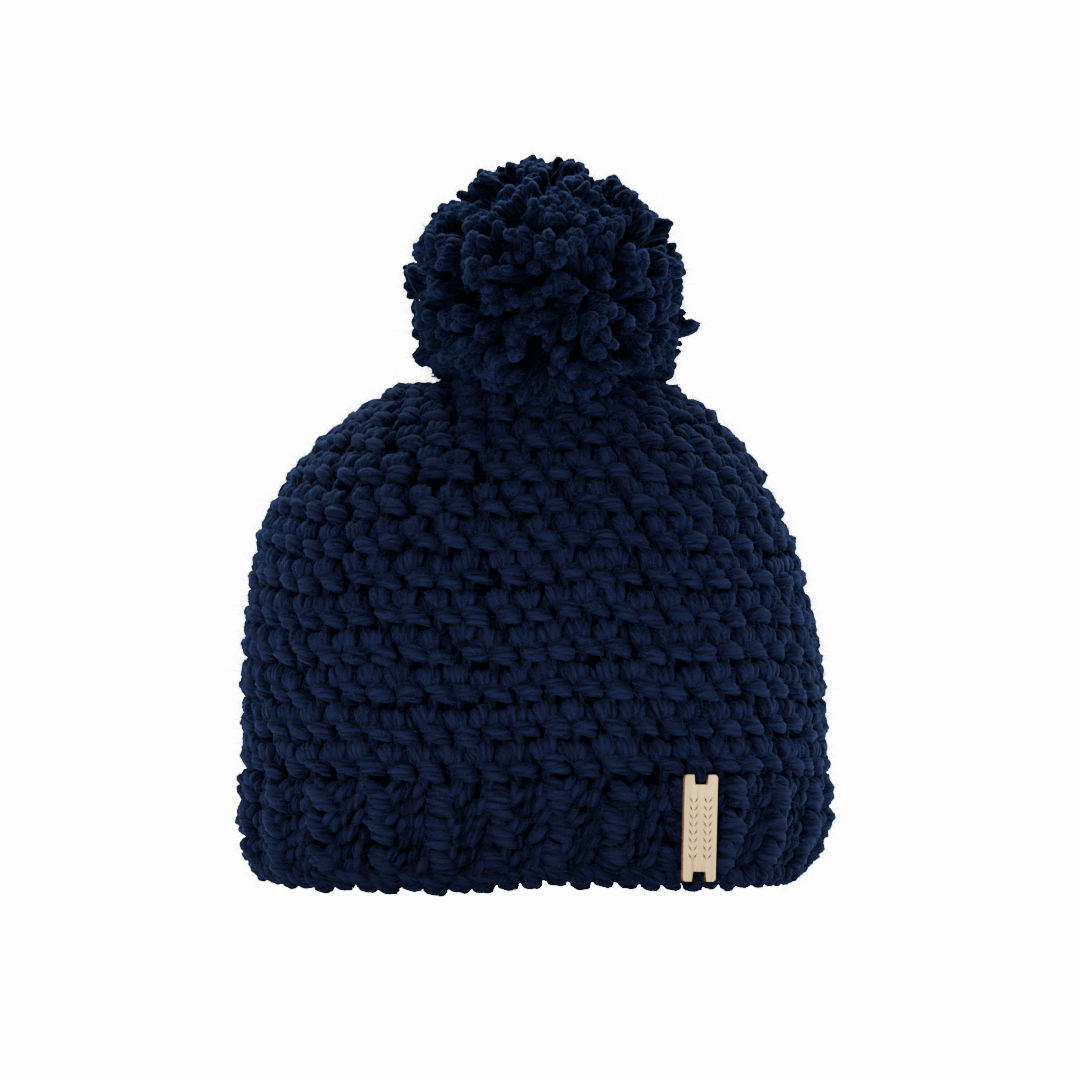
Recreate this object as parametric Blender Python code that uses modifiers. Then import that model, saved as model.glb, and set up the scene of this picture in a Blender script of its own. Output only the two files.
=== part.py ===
"""Crocheted pom pom beanie, standing open on its hem as it sits on a head form.

Metres, +Z up. The origin is the centre of the oval that the hem stands on, +X runs along
the oval's long way, and -Y is the front, where the wooden tag is sewn. The cap is worked
from the hem up: an edge round, a ribbed band, the body and the decreasing crown, which
a gather cord draws closed. The pom pom is a bundle of cut yarn pinched by a binding. The
binding's two tails go down to a knot in the gather and are tied off inside the crown.
"""

import math

import bmesh
import bpy
import numpy as np
from mathutils import Matrix, Vector

# The cap.
HALF_WIDTH = 0.1135
HALF_DEPTH = 0.078
OVAL_POWER = 2.4
FABRIC = 0.010
SEAM_GAP = 0.0003
HEM_TOP = 0.008
HEM_TUCK = 0.004
BAND_TOP = 0.042
BODY_TOP = 0.128
WALL_TOP = 0.060
DOME_HEIGHT = 0.143
DOME_POWER = 2.3
RIBS = 27
STEPS_PER_RIB = 4
RIB_DEPTH = 0.0018
STEPS_ROUND = 48

# The gathered top of the crown.
RIM_HALF_WIDTH = 0.052
DIMPLE_DEPTH = 0.0036
HOLE_RADIUS = 0.0130
GATHER_RADIUS = 0.01005
YARN_RADIUS = 0.0026

# The knot that the pom pom rocks on, and the yarn above and below it.
PIVOT_HEIGHT = 0.1850
KNOT_RADIUS = 0.0070
TAIL_SPACING = 0.0029
TAIL_RADIUS = 0.0024
TAIL_GAP = 0.0006
INSIDE_KNOT_HEIGHT = 0.1620
INSIDE_KNOT_HALF_WIDTH = 0.0105
INSIDE_KNOT_HALF_HEIGHT = 0.0072

# The pom pom.
POM_RADIUS = 0.0550
POM_HEIGHT = 0.2270
CHANNEL_RADIUS = 0.0068
BINDING_RADIUS = 0.0110
UNDERSIDE = ((0.0068, 0.1946), (0.018, 0.1958), (0.031, 0.2007), (0.046, 0.2072))

# The wooden tag, held by a stitch in the notch at each end.
TAG_X = 0.061
TAG_HEIGHT = 0.0252
TAG_LEAN = math.radians(1.5)
TAG_LENGTH = 0.0400
TAG_WIDTH = 0.0132
TAG_THICKNESS = 0.0020
TAG_CORNER = 0.0014
TAG_STANDOFF = 0.0005
NOTCH_DEPTH = 0.0037
NOTCH_MOUTH = 0.0056
NOTCH_BASE = 0.0048
STITCH_RADIUS = 0.0016
STITCH_BEND = 0.0020

# The starting tail of yarn, woven in along the inside of the back.
WOVEN_END_HEIGHT = 0.0520
WOVEN_END_LENGTH = 0.0700
WOVEN_END_RADIUS = 0.0020

NAVY = (0.012, 0.020, 0.060)
MAPLE = (0.66, 0.49, 0.30)


def clear_scene():
    for old in list(bpy.data.objects):
        bpy.data.objects.remove(old)


def new_collection(name):
    collection = bpy.data.collections.new(name)
    bpy.context.scene.collection.children.link(collection)
    return collection


def new_material(name, colour, roughness):
    material = bpy.data.materials.new(name)
    material.use_nodes = True
    shader = material.node_tree.nodes["Principled BSDF"]
    shader.inputs["Base Color"].default_value = (*colour, 1.0)
    shader.inputs["Roughness"].default_value = roughness
    return material


def adopt(obj, name, collection, material=None):
    """Names an object, puts it in its collection and shades its round faces smooth."""
    obj.name = name
    obj.data.name = name
    for old in list(obj.users_collection):
        old.objects.unlink(obj)
    collection.objects.link(obj)
    if material:
        obj.data.materials.append(material)
    if obj.type == "MESH":
        obj.data.shade_smooth()
        obj.data.set_sharp_from_angle(angle=math.radians(40))
    return obj


def add_mesh(name, mesh, collection, material):
    data = bpy.data.meshes.new(name)
    bmesh.ops.recalc_face_normals(mesh, faces=mesh.faces)
    mesh.to_mesh(data)
    mesh.free()
    return adopt(bpy.data.objects.new(name, data), name, collection, material)


def add_strand(name, points, radius, collection, material):
    """A strand of yarn along a smooth line, with filled ends."""
    curve = bpy.data.curves.new(name, "CURVE")
    curve.dimensions = "3D"
    curve.bevel_depth = radius
    curve.bevel_resolution = 2
    curve.use_fill_caps = True
    spline = curve.splines.new("POLY")
    spline.points.add(len(points) - 1)
    for knot, point in zip(spline.points, points):
        knot.co = (*point, 1.0)
    return adopt(bpy.data.objects.new(name, curve), name, collection, material)


def add_ring(name, centre, radius, thickness, tilt, collection, material=None):
    bpy.ops.mesh.primitive_torus_add(
        major_radius=radius, minor_radius=thickness, major_segments=28, minor_segments=10,
        location=centre, rotation=tilt,
    )
    return adopt(bpy.context.object, name, collection, material)


def add_knot(name, height, half_width, half_height, collection, material):
    bpy.ops.mesh.primitive_uv_sphere_add(segments=20, ring_count=12, radius=1.0)
    obj = adopt(bpy.context.object, name, collection, material)
    obj.data.transform(Matrix.Diagonal((half_width, half_width, half_height, 1.0)))
    obj.location = (0.0, 0.0, height)
    return obj


def signed_power(value, power):
    return math.copysign(abs(value) ** power, value)


def oval_point(turn, half_width, half_depth, height):
    """The point at one turn angle on an oval of these half sizes."""
    return Vector((
        half_width * signed_power(math.cos(turn), 2 / OVAL_POWER),
        half_depth * signed_power(math.sin(turn), 2 / OVAL_POWER),
        height,
    ))


def even_turns(count):
    """Turn angles that space points evenly round the cap, from the middle of its front."""
    fine = np.linspace(0.0, 2 * math.pi, 4001) - math.pi / 2
    points = np.array([oval_point(turn, HALF_WIDTH, HALF_DEPTH, 0.0) for turn in fine])
    steps = np.linalg.norm(np.diff(points, axis=0), axis=1)
    along = np.concatenate([[0.0], np.cumsum(steps)])
    return np.interp(np.arange(count) / count * along[-1], along, fine)


def dome_share(height, inset):
    """How wide the cap is at a height, as a share of its full width."""
    rise = max(0.0, height - WALL_TOP) / (DOME_HEIGHT - inset)
    return (1.0 - rise**DOME_POWER) ** (1.0 / DOME_POWER)


def rim_height():
    """Where the dome has narrowed to the rim of its gathered top."""
    share = RIM_HALF_WIDTH / HALF_WIDTH
    return WALL_TOP + DOME_HEIGHT * (1.0 - share**DOME_POWER) ** (1.0 / DOME_POWER)


def wall_ring(turns, height, inset, tuck=0.0, rib=0.0, rib_start=0.0):
    """One ring of the wall, inset from the outer face, and by a rib's depth in its valleys."""
    share = dome_share(height, inset)
    ring = []
    for step, turn in enumerate(turns):
        wave = 0.5 - 0.5 * math.cos(2 * math.pi * RIBS * step / len(turns) + rib_start)
        narrower = tuck + rib * wave
        ring.append(oval_point(turn, (HALF_WIDTH - inset) * share - narrower,
                               (HALF_DEPTH - inset) * share - narrower, height))
    return ring


def top_ring(turns, half_width, half_depth, height):
    return [oval_point(turn, half_width, half_depth, height) for turn in turns]


def round_ring(turns, radius, height):
    return [Vector((radius * math.cos(turn), radius * math.sin(turn), height)) for turn in turns]


def closed_band(name, rings, collection, material):
    """A band lofted through rings that run up its outside and back down its inside."""
    mesh = bmesh.new()
    rows = [[mesh.verts.new(point) for point in ring] for ring in rings]
    for row, after in zip(rows, rows[1:] + rows[:1]):
        for step in range(len(row)):
            beyond = (step + 1) % len(row)
            mesh.faces.new((row[step], row[beyond], after[beyond], after[step]))
    return add_mesh(name, mesh, collection, material)


def hem_edge(collection, material):
    """The rope-like edge round that the cap stands on, flat underneath."""
    turns = even_turns(STEPS_ROUND)
    top = HEM_TOP - SEAM_GAP
    rings = [
        wall_ring(turns, 0.0, 0.0025, HEM_TUCK),
        wall_ring(turns, 0.0022, 0.0008, HEM_TUCK * 0.8),
        wall_ring(turns, 0.0055, 0.0006, HEM_TUCK * 0.5),
        wall_ring(turns, top, 0.0015, HEM_TUCK * 0.25),
        wall_ring(turns, top, FABRIC - 0.001, HEM_TUCK * 0.25),
        wall_ring(turns, 0.0025, FABRIC, HEM_TUCK * 0.8),
        wall_ring(turns, 0.0, FABRIC - 0.0015, HEM_TUCK),
    ]
    return closed_band("hem_edge", rings, collection, material)


def ribbed_band(collection, material):
    """The post-stitch ribbing. A rib on one face is a valley on the other."""
    turns = even_turns(RIBS * STEPS_PER_RIB)
    top = BAND_TOP - SEAM_GAP
    middle = (HEM_TOP + BAND_TOP) / 2
    rings = [
        wall_ring(turns, HEM_TOP, 0.0004, HEM_TUCK * 0.25, RIB_DEPTH / 2),
        wall_ring(turns, middle, 0.0004, 0.0, RIB_DEPTH),
        wall_ring(turns, top, 0.0004, 0.0, RIB_DEPTH / 2),
        wall_ring(turns, top, FABRIC - RIB_DEPTH / 2, 0.0, RIB_DEPTH / 2, math.pi),
        wall_ring(turns, middle, FABRIC - RIB_DEPTH, 0.0, RIB_DEPTH, math.pi),
        wall_ring(turns, HEM_TOP, FABRIC - RIB_DEPTH / 2, HEM_TUCK * 0.25, RIB_DEPTH / 2, math.pi),
    ]
    return closed_band("ribbed_band", rings, collection, material)


def body_fabric(collection, material):
    """The even rounds between the ribbing and the first decrease."""
    turns = even_turns(STEPS_ROUND)
    heights = [BAND_TOP, 0.062, 0.083, 0.106, BODY_TOP - SEAM_GAP]
    rings = [wall_ring(turns, height, 0.0) for height in heights]
    rings += [wall_ring(turns, height, FABRIC) for height in reversed(heights)]
    return closed_band("body_fabric", rings, collection, material)


def crown_fabric(collection, material):
    """The decreasing rounds, closing over the dome to the hole that the cord gathers."""
    turns = even_turns(STEPS_ROUND)
    rim = rim_height()
    inner_rim = rim - FABRIC * 1.08
    floor = rim - DIMPLE_DEPTH
    rings = [wall_ring(turns, BODY_TOP + (rim - BODY_TOP) * share, 0.0)
             for share in (0.0, 0.25, 0.48, 0.68, 0.84, 0.95, 1.0)]
    rings += [
        top_ring(turns, 0.034, 0.026, rim - DIMPLE_DEPTH * 0.3),
        round_ring(turns, HOLE_RADIUS, floor),
        round_ring(turns, HOLE_RADIUS, floor - FABRIC),
        top_ring(turns, 0.032, 0.0245, rim - DIMPLE_DEPTH * 0.3 - FABRIC),
    ]
    rings += [wall_ring(turns, BODY_TOP + (inner_rim - BODY_TOP) * share, FABRIC)
              for share in (1.0, 0.93, 0.80, 0.62, 0.40, 0.20, 0.0)]
    return closed_band("crown_fabric", rings, collection, material)


def gather_cord(collection, material):
    """The yarn drawn through the last round's loops, lying in the hole that it closes."""
    centre = (0.0, 0.0, rim_height() - DIMPLE_DEPTH - FABRIC / 2)
    return add_ring("gather_cord", centre, GATHER_RADIUS, YARN_RADIUS, (0, 0, 0),
                    collection, material)


def woven_in_end(collection, material):
    """The starting tail, lying along the inside of the back."""
    half_width = HALF_WIDTH - FABRIC - WOVEN_END_RADIUS - SEAM_GAP
    half_depth = HALF_DEPTH - FABRIC - WOVEN_END_RADIUS - SEAM_GAP
    points = []
    for x in np.linspace(-WOVEN_END_LENGTH / 2, WOVEN_END_LENGTH / 2, 12):
        y = half_depth * (1.0 - (abs(x) / half_width) ** OVAL_POWER) ** (1.0 / OVAL_POWER)
        points.append(Vector((x, y, WOVEN_END_HEIGHT)))
    return add_strand("woven_in_end", points, WOVEN_END_RADIUS, collection, material)


def pom_pile(collection, cutters, material):
    """The ball of cut yarn, trimmed hollow underneath so that it can rock on the crown.

    The tails' channel runs up it to the slot that the binding lies in."""
    slot_bottom = POM_HEIGHT - BINDING_RADIUS - YARN_RADIUS
    rim_angle = math.asin((UNDERSIDE[-1][1] + 0.002 - POM_HEIGHT) / POM_RADIUS)
    ball = [(POM_RADIUS * math.cos(angle), POM_HEIGHT + POM_RADIUS * math.sin(angle))
            for angle in np.linspace(math.pi / 2, rim_angle, 14)]
    channel = [(CHANNEL_RADIUS, slot_bottom + 0.002), (0.0, slot_bottom + 0.002)]
    profile = ball + list(reversed(UNDERSIDE)) + channel
    data = bpy.data.meshes.new("pile")
    edges = [(k, k + 1) for k in range(len(profile) - 1)]
    data.from_pydata([(radius, 0.0, height) for radius, height in profile], edges, [])
    pile = adopt(bpy.data.objects.new("pile", data), "pom_pile", collection, material)

    turned = pile.modifiers.new("turned", "SCREW")
    turned.steps = 32
    turned.render_steps = 32
    turned.use_merge_vertices = True
    turned.merge_threshold = 0.0001
    turned.use_smooth_shade = True

    slot = add_ring("binding_slot", (0.0, 0.0, POM_HEIGHT), BINDING_RADIUS,
                    YARN_RADIUS + SEAM_GAP, (0, math.pi / 2, 0), cutters)
    slot.hide_render = True
    slot.display_type = "WIRE"
    slotted = pile.modifiers.new("slotted", "BOOLEAN")
    slotted.operation = "DIFFERENCE"
    slotted.solver = "EXACT"
    slotted.object = slot
    return pile


def pom_binding(collection, material):
    """The yarn wound round the middle of the bundle and pulled tight."""
    return add_ring("pom_binding", (0.0, 0.0, POM_HEIGHT), BINDING_RADIUS, YARN_RADIUS,
                    (0, math.pi / 2, 0), collection, material)


def tie_tails(collection, material):
    """The binding's two tails above the knot, and their two ends below it."""
    above = (PIVOT_HEIGHT + KNOT_RADIUS + TAIL_GAP, POM_HEIGHT - BINDING_RADIUS - YARN_RADIUS - TAIL_GAP)
    below = (INSIDE_KNOT_HEIGHT + INSIDE_KNOT_HALF_HEIGHT + TAIL_GAP, PIVOT_HEIGHT - KNOT_RADIUS - TAIL_GAP)
    for side, word in ((-1, "left"), (1, "right")):
        for name, (low, high) in (("tie_tail_" + word, above), ("tie_end_" + word, below)):
            points = [Vector((side * TAIL_SPACING, 0.0, z)) for z in np.linspace(low, high, 4)]
            add_strand(name, points, TAIL_RADIUS, collection, material)


def tag_frame():
    """Carries tag coordinates (across, into the fabric, up) to the front of the band."""
    turn = -math.acos((TAG_X / HALF_WIDTH) ** (OVAL_POWER / 2))
    before = oval_point(turn - 1e-4, HALF_WIDTH, HALF_DEPTH, TAG_HEIGHT)
    after = oval_point(turn + 1e-4, HALF_WIDTH, HALF_DEPTH, TAG_HEIGHT)
    facing = math.atan2(after.y - before.y, after.x - before.x)
    place = Matrix.Translation((before + after) / 2)
    return place @ Matrix.Rotation(facing, 4, "Z") @ Matrix.Rotation(TAG_LEAN, 4, "Y")


def tag_plate(frame, collection, material):
    """The wooden plate, with rounded corners and a notch in each end."""
    side = TAG_WIDTH / 2 - TAG_CORNER
    end = TAG_LENGTH / 2 - TAG_CORNER
    quarter = [(NOTCH_BASE / 2, TAG_LENGTH / 2 - NOTCH_DEPTH), (NOTCH_MOUTH / 2, TAG_LENGTH / 2)]
    quarter += [(side + TAG_CORNER * math.sin(a), end + TAG_CORNER * math.cos(a))
                for a in np.linspace(0.0, math.pi / 2, 5)]
    right = quarter + [(x, -z) for x, z in reversed(quarter)]
    outline = right + [(-x, z) for x, z in reversed(right)]
    mesh = bmesh.new()
    back = mesh.faces.new([mesh.verts.new((x, -TAG_STANDOFF, z)) for x, z in outline])
    front = bmesh.ops.extrude_face_region(mesh, geom=[back])
    moved = [part for part in front["geom"] if isinstance(part, bmesh.types.BMVert)]
    bmesh.ops.translate(mesh, verts=moved, vec=(0.0, -TAG_THICKNESS, 0.0))
    plate = add_mesh("tag_plate", mesh, collection, material)
    plate.matrix_world = frame
    return plate


def tag_stitch(name, side, outer_leg, frame, collection, material):
    """A loop of yarn that comes up beyond the tag's end and goes down through its notch."""
    middle = TAG_LENGTH / 2 - NOTCH_DEPTH + STITCH_RADIUS + SEAM_GAP + STITCH_BEND
    points = [(side * (middle + STITCH_BEND), outer_leg)]
    points += [(side * (middle + STITCH_BEND * math.cos(a)), -TAG_STANDOFF - STITCH_BEND * math.sin(a))
               for a in np.linspace(0.0, math.pi, 9)]
    line = [frame @ Vector((0.0, into, up)) for up, into in points]
    return add_strand(name, line, STITCH_RADIUS, collection, material)


def build():
    clear_scene()
    cap = new_collection("pom_pom_beanie")
    cutters = new_collection("cutters")
    wool = new_material("navy_wool", NAVY, 0.95)
    pile_wool = new_material("pom_wool", NAVY, 0.95)
    maple = new_material("maple", MAPLE, 0.6)

    hem_edge(cap, wool)
    ribbed_band(cap, wool)
    body_fabric(cap, wool)
    crown_fabric(cap, wool)
    gather_cord(cap, wool)
    woven_in_end(cap, wool)
    pom_pile(cap, cutters, pile_wool)
    pom_binding(cap, wool)
    tie_tails(cap, wool)
    add_knot("tie_knot", PIVOT_HEIGHT, KNOT_RADIUS, KNOT_RADIUS, cap, wool)
    add_knot("inside_knot", INSIDE_KNOT_HEIGHT, INSIDE_KNOT_HALF_WIDTH, INSIDE_KNOT_HALF_HEIGHT,
             cap, wool)

    frame = tag_frame()
    tag_plate(frame, cap, maple)
    tag_stitch("tag_stitch_upper", 1, -TAG_STANDOFF, frame, cap, wool)
    tag_stitch("tag_stitch_lower", -1, 0.0015, frame, cap, wool)


build()
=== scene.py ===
"""Looks of the crocheted pom pom beanie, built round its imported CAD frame.

The crochet is made strand by strand, and each strand is a tapered, twisted tube laid on the
cap's surface. A place on the cap is (around, up, out): the share of the way round from the
middle of the front, the distance up the fabric from the hem, and the distance out from the
surface. Lengths are in metres, and stitch patterns are in mm.
"""

import math

import bmesh
import bpy
import numpy as np
from mathutils import Matrix, Vector


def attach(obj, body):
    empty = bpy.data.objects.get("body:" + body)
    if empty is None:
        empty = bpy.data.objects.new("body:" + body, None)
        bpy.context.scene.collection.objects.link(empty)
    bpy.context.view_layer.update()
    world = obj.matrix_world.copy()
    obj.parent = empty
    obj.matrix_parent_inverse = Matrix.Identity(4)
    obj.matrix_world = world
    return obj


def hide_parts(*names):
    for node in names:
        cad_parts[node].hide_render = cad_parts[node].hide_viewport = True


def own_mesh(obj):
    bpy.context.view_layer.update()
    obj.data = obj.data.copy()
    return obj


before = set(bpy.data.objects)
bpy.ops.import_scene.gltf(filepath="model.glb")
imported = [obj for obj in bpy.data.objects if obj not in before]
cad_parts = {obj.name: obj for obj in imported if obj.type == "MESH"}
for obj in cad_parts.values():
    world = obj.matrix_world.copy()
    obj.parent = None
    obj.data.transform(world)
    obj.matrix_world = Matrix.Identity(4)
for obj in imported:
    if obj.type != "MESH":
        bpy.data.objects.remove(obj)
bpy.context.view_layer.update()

MM = 0.001
RANDOM = np.random.default_rng(11)

# The cap's shape, as the CAD has it: a superellipse seen from above, and a wall with a
# superelliptic dome over it seen from the side.
HALF_WIDTH = 0.1135
HALF_DEPTH = 0.078
OVAL_POWER = 2.4
WALL_TOP = 0.060
DOME_HEIGHT = 0.143
DOME_POWER = 2.3
RIM_SHARE = 0.458
HOLE_SHARE = 0.115
DIMPLE_DEPTH = 0.0036
CROWN_LIP = 0.0012
HEM_TUCK = 0.0055
HEM_TUCK_HEIGHT = 0.022
BAND_BOTTOM = 0.0070
BAND_TOP = 0.042
CROWN_START = 0.122
CORE_OUTSIDE = -0.0044
CORE_INSIDE = -0.0066

# Crochet gauge.
STITCH_WIDTH = 0.0115
ROUND_HEIGHT = 0.0142
ROUND_LEAN = 0.18
RIBS = 27
RIB_TIERS = 3
EDGE_STITCH_WIDTH = 0.0098
EDGE_LOW = 0.0005
EDGE_HIGH = 0.0085
INSIDE_TIER_LOW = 0.003
INSIDE_TIER_HEIGHT = 0.0135
YARN_TWIST = 240.0
FUZZ_LENGTH = 0.0023
CAP_FUZZ_COUNT = 14000
CAP_FUZZ_THICKNESS = 0.00016

# The pom pom.
POM_CENTRE = np.array([0.0035, 0.0, 0.2265])
POM_RADIUS = 0.0530
TUFT_COUNT = 660
TUFT_PLIES = 3
TUFT_STEPS = 13
TUFT_PLY_RADIUS = 0.00215
TUFT_SPREAD = 0.00175
TUFT_VISIBLE_SHARE = 0.40
TUFT_TWIST = 300.0
POM_FUZZ_PER_TUFT = 72
POM_FUZZ_THICKNESS = 0.00017
# How far a point over the crown drops at a joint's limit, per metre from the joint's axis.
JOINT_SLOPE = 0.18

# The cords and knots.
GATHER_HEIGHT = 0.1834
GATHER_RADIUS = 0.01005
BINDING_HEIGHT = 0.227
BINDING_RADIUS = 0.0110
KNOT_HEIGHT = 0.185
INSIDE_KNOT_HEIGHT = 0.1620
TAIL_HEIGHTS = (0.1926, 0.2128)
TIE_END_HEIGHTS = (0.1698, 0.1774)
TIE_SPACING = 0.0029
CORD_RADIUS = 0.0026
TIE_RADIUS = 0.0024
WOVEN_INSET = 0.0123
WOVEN_HALF_LENGTH = 0.035
WOVEN_HEIGHT = 0.052

# The tag, as the CAD places it.
TAG_X = 0.061
TAG_HEIGHT = 0.0252
TAG_LEAN = math.radians(1.5)
TAG_LENGTH = 0.0400
TAG_WIDTH = 0.0132
TAG_THICKNESS = 0.0020
TAG_CORNER = 0.0014
TAG_STANDOFF = 0.0005
TAG_BEVEL = 0.00018
NOTCH_DEPTH = 0.0037
NOTCH_MOUTH = 0.0056
NOTCH_BASE = 0.0048
ENGRAVING_DEPTH = 0.00028
TAG_YARN_RADIUS = 0.0019
TAG_YARN_BEND = 0.0020

# Wool colours: dark, middle and light, which random variation, painted shade and painted highlight
# pick between, then how much sheen it has.
CAP_WOOL = ((0.0004, 0.0005, 0.0016), (0.0024, 0.0026, 0.0085), (0.0078, 0.0096, 0.0320), 0.05)
POM_WOOL = ((0.0004, 0.0005, 0.0016), (0.0024, 0.0027, 0.0090), (0.0090, 0.0115, 0.0400), 0.07)
# The fuzz is the same wool coloured lighter, as painted sheen.
FUZZ_WOOL_PAINTED_SHEEN = ((0.002, 0.0025, 0.008), (0.0055, 0.0075, 0.024), (0.015, 0.021, 0.068), 0.08)

# The studio.
WHITE_FLOOR = (0.93, 0.93, 0.935)
FLOOR_HEIGHT = -0.0050
WORLD_LIGHT = 0.05
WORLD_SEEN = 14.0
COOL = (0.76, 0.89, 1.0)
CAMERA_FIELD = 0.4158
CAMERA_DISTANCE = 2.4
CAMERA_X = 0.0019
CAMERA_HEIGHT = 0.1328


# ---------------------------------------------------------------- the cap's surface

def signed_power(value, power):
    """The power of the size of a number, with the number's own sign."""
    return np.sign(value) * np.abs(value) ** power


def profile_table():
    """Distance up the fabric, share of the full width and height, from hem to gather hole."""
    wall = np.linspace(0.0, WALL_TOP, 60)[:-1]
    low = np.clip(1.0 - wall / HEM_TUCK_HEIGHT, 0.0, 1.0)
    wall_share = 1.0 - HEM_TUCK / HALF_DEPTH * low**2
    rim_angle = math.acos(RIM_SHARE ** (DOME_POWER / 2))
    angle = np.linspace(0.0, rim_angle, 400)
    dome_share = np.cos(angle) ** (2 / DOME_POWER)
    dome = WALL_TOP + DOME_HEIGHT * np.sin(angle) ** (2 / DOME_POWER)
    top_share = np.linspace(RIM_SHARE, HOLE_SHARE, 120)[1:]
    inward = (RIM_SHARE - top_share) / (RIM_SHARE - HOLE_SHARE)
    lip = CROWN_LIP * np.sin(np.pi * np.minimum(inward * 2.2, 1.0))
    top = dome[-1] + lip - DIMPLE_DEPTH * inward**1.5
    share = np.concatenate([wall_share, dome_share, top_share])
    height = np.concatenate([wall, dome, top])
    mean_radius = (HALF_WIDTH + HALF_DEPTH) / 2
    step = np.hypot(np.diff(height), mean_radius * np.diff(share))
    return np.concatenate([[0.0], np.cumsum(step)]), share, height


def turn_table():
    """Share of the way round and the oval's turn angle there, from the middle of the front."""
    turn = np.linspace(0.0, 2 * np.pi, 6001) - np.pi / 2
    x = HALF_WIDTH * signed_power(np.cos(turn), 2 / OVAL_POWER)
    y = HALF_DEPTH * signed_power(np.sin(turn), 2 / OVAL_POWER)
    along = np.concatenate([[0.0], np.cumsum(np.hypot(np.diff(x), np.diff(y)))])
    return along / along[-1], turn, along[-1]


UP, SHARE, HEIGHT = profile_table()
ROUND, TURN, GIRTH = turn_table()
TOTAL_UP = UP[-1]
TAG_TURN = -math.acos((TAG_X / HALF_WIDTH) ** (OVAL_POWER / 2))
TAG_AROUND = float(np.interp(TAG_TURN, TURN, ROUND))


def up_at_height(height):
    """Distance up the fabric of a height on the wall or dome."""
    return float(np.interp(height, HEIGHT[:450], UP[:450]))


def soften(points):
    """The slight unevenness of a soft cap: low waves that move every part of it alike."""
    x, y, z = points[..., 0], points[..., 1], points[..., 2]
    rise = np.clip(z / 0.2, 0.0, 1.0)
    moved = points.copy()
    moved[..., 0] += 0.0016 * np.sin(31.0 * z + 1.1) + 0.0012 * np.sin(47.0 * y + 22.0 * z)
    moved[..., 0] -= 0.0042 * np.exp(-((z - 0.150) / 0.032) ** 2) * np.clip(-x / 0.06, 0.0, 1.0)
    moved[..., 0] -= 0.0032 * (1.0 - rise**4) * np.clip(x / 0.08, 0.0, 1.0)
    moved[..., 1] += 0.0012 * np.sin(38.0 * x + 0.6) * np.sin(20.0 * z + 0.4)
    hem = np.clip(1.0 - z / 0.05, 0.0, 1.0)
    corner = np.exp(-((x + 0.094) / 0.016) ** 2)
    right_end = np.clip((x - 0.05) / 0.05, 0.0, 1.0)
    moved[..., 0] -= 0.0050 * np.clip(1.0 - z / 0.026, 0.0, 1.0) * right_end
    moved[..., 2] += hem * (0.0011 * np.sin(55.0 * x + 0.9) - 0.0016 * corner + 0.0014)
    return moved


def smooth_cap(around, up):
    """Points on the cap's undisturbed surface."""
    share = np.interp(up, UP, SHARE)
    height = np.interp(up, UP, HEIGHT)
    turn = np.interp(np.mod(around, 1.0), ROUND, TURN)
    rounder = np.clip((0.30 - share) / 0.2, 0.0, 1.0)
    half_width = HALF_WIDTH * share
    half_depth = HALF_DEPTH * share + (HALF_WIDTH - HALF_DEPTH) * share * rounder
    x = half_width * signed_power(np.cos(turn), 2 / OVAL_POWER)
    y = half_depth * signed_power(np.sin(turn), 2 / OVAL_POWER)
    return np.stack([x, y, height], axis=-1)


def unit(vectors):
    """The same directions, one metre long."""
    return vectors / np.maximum(np.linalg.norm(vectors, axis=-1, keepdims=True), 1e-12)


def cap_place(around, up, out):
    """Points at (around, up, out) and the outward direction there."""
    side, rise = 0.0022, 0.0012
    up = np.clip(up, 0.0, TOTAL_UP)
    centre = smooth_cap(around, up)
    across = smooth_cap(around + side, up) - smooth_cap(around - side, up)
    above = (smooth_cap(around, np.minimum(up + rise, TOTAL_UP))
             - smooth_cap(around, np.maximum(up - rise, 0.0)))
    outward = unit(np.cross(across, above))
    return soften(centre + outward * np.asarray(out)[..., None]), outward


def under_tag(around, up):
    """1 behind the tag, fading to 0 a few millimetres beyond its edges."""
    sideways = np.abs(np.mod(around - TAG_AROUND + 0.5, 1.0) - 0.5) * GIRTH - TAG_WIDTH / 2
    lengthways = np.abs(up - TAG_HEIGHT) - TAG_LENGTH / 2
    beyond = np.maximum(sideways, lengthways * 1.4)
    return np.clip(1.0 - (beyond - 0.001) / 0.004, 0.0, 1.0)


def girth_at(up):
    """Distance round the cap."""
    return GIRTH * np.interp(up, UP, SHARE)


# ---------------------------------------------------------------- meshes

def mesh_object(name, points, loops, starts, fibre, tone, material):
    """A smooth-shaded object from flat arrays, with its yarn coordinates and its painted light as
    attributes.
    """
    mesh = bpy.data.meshes.new(name)
    mesh.vertices.add(len(points))
    mesh.vertices.foreach_set("co", np.ascontiguousarray(points, np.float32).ravel())
    mesh.loops.add(len(loops))
    mesh.loops.foreach_set("vertex_index", np.ascontiguousarray(loops, np.int32))
    mesh.polygons.add(len(starts))
    mesh.polygons.foreach_set("loop_start", np.ascontiguousarray(starts, np.int32))
    mesh.update(calc_edges=True)
    mesh.shade_smooth()
    attribute = mesh.attributes.new("fibre", "FLOAT_VECTOR", "POINT")
    attribute.data.foreach_set("vector", np.ascontiguousarray(fibre, np.float32).ravel())
    attribute = mesh.attributes.new("tone", "FLOAT", "POINT")
    attribute.data.foreach_set("value", np.ascontiguousarray(tone, np.float32).ravel())
    mesh.materials.append(material)
    obj = bpy.data.objects.new(name, mesh)
    bpy.context.scene.collection.objects.link(obj)
    return obj


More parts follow.
